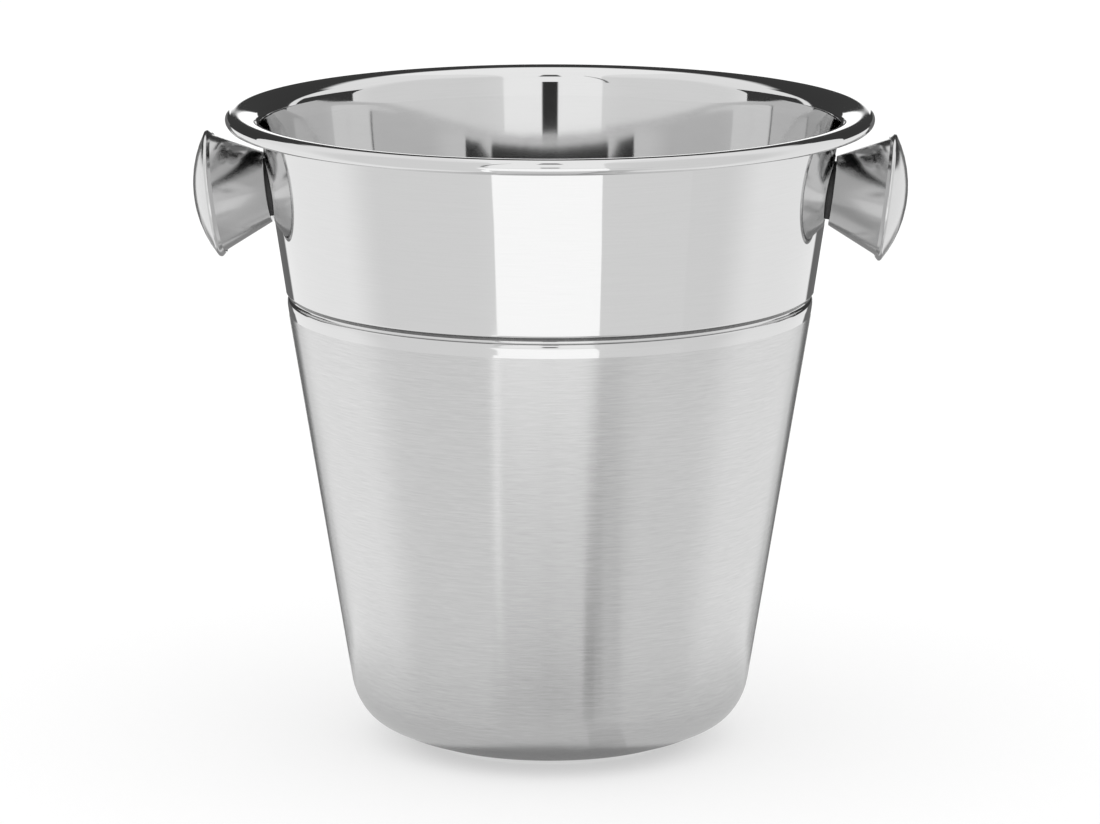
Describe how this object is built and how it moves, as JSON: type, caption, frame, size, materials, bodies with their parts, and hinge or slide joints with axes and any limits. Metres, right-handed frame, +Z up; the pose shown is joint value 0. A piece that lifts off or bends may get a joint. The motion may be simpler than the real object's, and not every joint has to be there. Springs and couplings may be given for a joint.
{
  "type": "champagne bucket",
  "caption": "Tapered steel champagne bucket with a rolled rim, a groove under a polished collar, a brushed body and trumpet-shaped side knobs screwed on through the wall.",
  "frame": {"origin": "centre of the foot ring, on the surface that the bucket stands on", "axes": "+Z up through the mouth, +X through one knob and -X through the other, -Y the side that faces the viewer"},
  "size_m": [0.2382, 0.215, 0.2126],
  "materials": {
    "shell_steel": "collar and rim mirror polished, body below the groove brushed round the axis, inside satin below the collar",
    "knob_steel": "mirror polished",
    "fastener_steel": "plain machined",
    "gasket_rubber": "matt black"
  },
  "bodies": {
    "root": {"bucket_shell": "shell_steel", "knob_stem_right": "knob_steel", "knob_cap_right": "knob_steel", "gasket_right": "gasket_rubber", "washer_right": "fastener_steel", "weld_nut_right": "fastener_steel", "clamp_screw_right": "fastener_steel", "knob_stem_left": "knob_steel", "knob_cap_left": "knob_steel", "gasket_left": "gasket_rubber", "washer_left": "fastener_steel", "weld_nut_left": "fastener_steel", "clamp_screw_left": "fastener_steel"}
  },
  "joints": []
}
